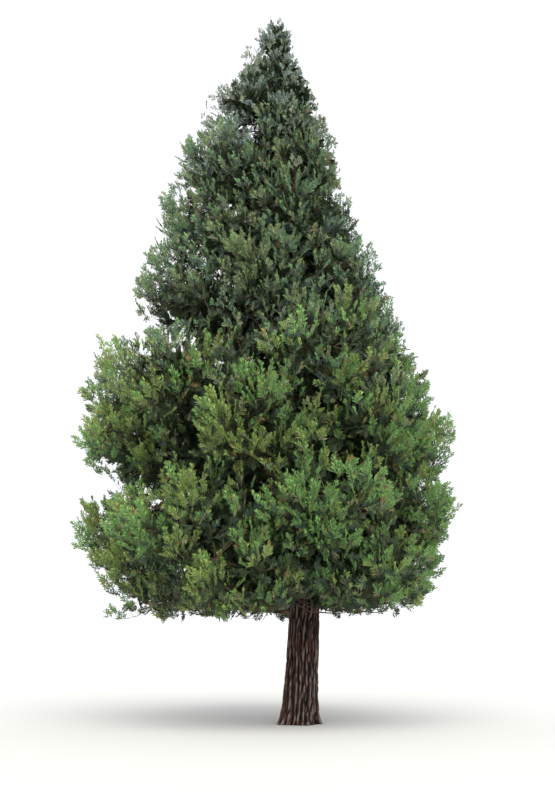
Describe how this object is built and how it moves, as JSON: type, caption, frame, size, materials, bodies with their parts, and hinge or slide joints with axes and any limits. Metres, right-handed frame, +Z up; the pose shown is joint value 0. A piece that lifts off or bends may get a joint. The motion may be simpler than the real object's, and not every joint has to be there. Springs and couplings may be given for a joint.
{
  "type": "incense cedar tree",
  "caption": "Mature incense cedar: one straight furrowed trunk with a root flare and a dense cone of upswept, fan-like foliage down to head height",
  "frame": {"origin": "centre of the flat cut under the trunk, at ground level", "axes": "+Z up along the trunk, -Y towards the side that the picture shows, +X to the right in the picture"},
  "size_m": [6.8361, 6.8516, 13.06],
  "materials": {
    "bark": "stringy, deeply furrowed reddish-brown to grey-brown bark, dull",
    "limb_bark": "thin grey-brown bark of boughs and twigs, dull",
    "foliage_low": "flat scale-leaf sprays, bright yellow-green tips over mid green, slightly waxy",
    "foliage_middle": "flat scale-leaf sprays, mid green with olive and bronze tints, slightly waxy",
    "foliage_top": "flat scale-leaf sprays, dark dull green, slightly waxy"
  },
  "bodies": {
    "root": {"trunk": "bark", "bough_1": "limb_bark", "bough_2": "limb_bark", "bough_3": "limb_bark", "bough_4": "limb_bark", "bough_5": "limb_bark", "bough_6": "limb_bark", "bough_7": "limb_bark", "bough_8": "limb_bark", "bough_9": "limb_bark", "foliage_1_1": "foliage_low", "foliage_1_2": "foliage_low", "foliage_1_3": "foliage_low", "foliage_1_4": "foliage_low", "foliage_1_5": "foliage_low", "foliage_1_6": "foliage_low", "foliage_2_1": "foliage_low", "foliage_2_2": "foliage_low", "foliage_2_3": "foliage_low", "foliage_2_4": "foliage_low", "foliage_2_5": "foliage_low", "foliage_2_6": "foliage_low", "foliage_2_7": "foliage_low", "foliage_3_1": "foliage_low", "foliage_3_2": "foliage_low", "foliage_3_3": "foliage_low", "foliage_3_4": "foliage_low", "foliage_3_5": "foliage_low", "foliage_3_6": "foliage_low", "foliage_3_7": "foliage_low", "foliage_4_1": "foliage_low", "foliage_4_2": "foliage_low", "foliage_4_3": "foliage_low", "foliage_4_4": "foliage_low", "foliage_4_5": "foliage_low", "foliage_4_6": "foliage_low", "foliage_5_1": "foliage_middle", "foliage_5_2": "foliage_middle", "foliage_5_3": "foliage_middle", "foliage_5_4": "foliage_middle", "foliage_5_5": "foliage_middle", "foliage_5_6": "foliage_middle", "foliage_6_1": "foliage_middle", "foliage_6_2": "foliage_middle", "foliage_6_3": "foliage_middle", "foliage_6_4": "foliage_middle", "foliage_6_5": "foliage_middle", "foliage_7_1": "foliage_middle", "foliage_7_2": "foliage_middle", "foliage_7_3": "foliage_middle", "foliage_7_4": "foliage_middle", "foliage_8_1": "foliage_top", "foliage_8_2": "foliage_top", "foliage_8_3": "foliage_top", "foliage_9_1": "foliage_top", "foliage_9_2": "foliage_top", "foliage_9_3": "foliage_top", "foliage_10_1": "foliage_top", "foliage_10_2": "foliage_top", "foliage_leader": "foliage_top"}
  },
  "joints": []
}
